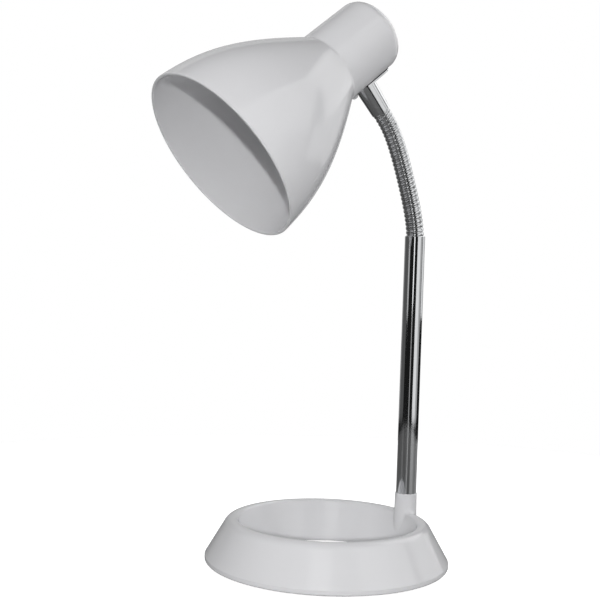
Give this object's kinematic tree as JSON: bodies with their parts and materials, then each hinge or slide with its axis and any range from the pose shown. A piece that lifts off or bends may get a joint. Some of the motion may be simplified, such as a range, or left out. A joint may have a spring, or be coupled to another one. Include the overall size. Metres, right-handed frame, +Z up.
{
  "type": "gooseneck desk lamp",
  "caption": "Desk lamp with a bell-shaped shade on a flexible metal gooseneck above a chrome tube stem, standing on a tapered ring base that is open in the middle.",
  "frame": {"origin": "on the desk, under the middle of the base ring", "axes": "+Z up; the stem stands towards +Y on the back of the ring and the head leans out over the ring towards -Y; the lamp is symmetric about the Y-Z plane"},
  "size_m": [0.17, 0.2189, 0.392],
  "materials": {
    "white_plastic": "glossy moulded plastic",
    "cover_plastic": "fine texture",
    "black_rubber": "matt",
    "grommet_rubber": "matt",
    "cast_iron": "rough",
    "chrome": "polished",
    "chrome_wire": "polished, wound from wire",
    "chrome_ferrule": "polished",
    "steel": "zinc plated",
    "holder_plastic": "satin insulating plastic",
    "brass": "plain"
  },
  "bodies": {
    "base": {"base_ring": "white_plastic", "base_cover": "cover_plastic", "foot_ring": "black_rubber", "ballast_ring": "cast_iron", "cover_screws": "steel", "cord_grommet": "grommet_rubber", "stem_tube": "chrome", "stem_plug": "steel", "stem_washer": "steel", "stem_nut": "steel", "neck_anchor": "steel", "neck_segment_01": "chrome_wire"},
    "link_02": {"neck_segment_02": "chrome_wire"},
    "link_03": {"neck_segment_03": "chrome_wire"},
    "link_04": {"neck_segment_04": "chrome_wire"},
    "link_05": {"neck_segment_05": "chrome_wire"},
    "link_06": {"neck_segment_06": "chrome_wire"},
    "link_07": {"neck_segment_07": "chrome_wire"},
    "link_08": {"neck_segment_08": "chrome_wire"},
    "link_09": {"neck_segment_09": "chrome_wire"},
    "link_10": {"neck_segment_10": "chrome_wire"},
    "link_11": {"neck_segment_11": "chrome_wire"},
    "link_12": {"neck_segment_12": "chrome_wire"},
    "head": {"neck_segment_13": "chrome_wire", "head_ferrule": "chrome_ferrule", "head_plate": "chrome", "head_gasket": "black_rubber", "head_nipple": "steel", "nipple_nut": "steel", "plate_screw": "steel", "shade": "white_plastic", "holder_bracket": "steel", "holder_core": "holder_plastic", "holder_skirt": "holder_plastic", "holder_shell": "brass", "centre_contact": "brass", "side_contact": "brass", "holder_screws": "steel", "terminal_screws": "brass"}
  },
  "joints": [
    {"name": "lower_bend", "type": "hinge", "parent": "base", "child": "link_02", "pos_m": [0, 0.0675, 0.23149], "axis": [1, 0, 0], "range_deg": [-7.5, 7.5]},
    {"name": "lower_sway", "type": "hinge", "parent": "link_02", "child": "link_03", "pos_m": [0, 0.06655, 0.2393], "axis": [0, 0.9961, 0.088], "range_deg": [-7.5, 7.5]},
    {"name": "lower_bend_2", "type": "hinge", "parent": "link_03", "child": "link_04", "pos_m": [0, 0.06495, 0.24701], "axis": [1, 0, 0], "range_deg": [-7.5, 7.5]},
    {"name": "lower_sway_2", "type": "hinge", "parent": "link_04", "child": "link_05", "pos_m": [0, 0.06291, 0.25461], "axis": [0, 0.9789, 0.2042], "range_deg": [-7.5, 7.5]},
    {"name": "lower_bend_3", "type": "hinge", "parent": "link_05", "child": "link_06", "pos_m": [0, 0.06061, 0.26214], "axis": [1, 0, 0], "range_deg": [-7.5, 7.5]},
    {"name": "lower_sway_3", "type": "hinge", "parent": "link_06", "child": "link_07", "pos_m": [0, 0.05814, 0.26961], "axis": [0, 0.9482, 0.3176], "range_deg": [-7.5, 7.5]},
    {"name": "upper_bend", "type": "hinge", "parent": "link_07", "child": "link_08", "pos_m": [0, 0.05556, 0.27705], "axis": [1, 0, 0], "range_deg": [-7.5, 7.5]},
    {"name": "upper_sway", "type": "hinge", "parent": "link_08", "child": "link_09", "pos_m": [0, 0.05285, 0.28444], "axis": [0, 0.9045, 0.4266], "range_deg": [-7.5, 7.5]},
    {"name": "upper_bend_2", "type": "hinge", "parent": "link_09", "child": "link_10", "pos_m": [0, 0.04996, 0.29176], "axis": [1, 0, 0], "range_deg": [-7.5, 7.5]},
    {"name": "upper_sway_2", "type": "hinge", "parent": "link_10", "child": "link_11", "pos_m": [0, 0.04678, 0.29896], "axis": [0, 0.8482, 0.5297], "range_deg": [-7.5, 7.5]},
    {"name": "upper_bend_3", "type": "hinge", "parent": "link_11", "child": "link_12", "pos_m": [0, 0.04315, 0.30594], "axis": [1, 0, 0], "range_deg": [-7.5, 7.5]},
    {"name": "upper_sway_3", "type": "hinge", "parent": "link_12", "child": "head", "pos_m": [0, 0.03887, 0.31255], "axis": [0, 0.7802, 0.6255], "range_deg": [-7.5, 7.5]}
  ],
  "couplings": [
    {"joint": "lower_bend_2", "follows": "lower_bend", "ratio": 1},
    {"joint": "lower_sway_2", "follows": "lower_sway", "ratio": 1},
    {"joint": "lower_bend_3", "follows": "lower_bend", "ratio": 1},
    {"joint": "lower_sway_3", "follows": "lower_sway", "ratio": 1},
    {"joint": "upper_bend_2", "follows": "upper_bend", "ratio": 1},
    {"joint": "upper_sway_2", "follows": "upper_sway", "ratio": 1},
    {"joint": "upper_bend_3", "follows": "upper_bend", "ratio": 1},
    {"joint": "upper_sway_3", "follows": "upper_sway", "ratio": 1}
  ]
}
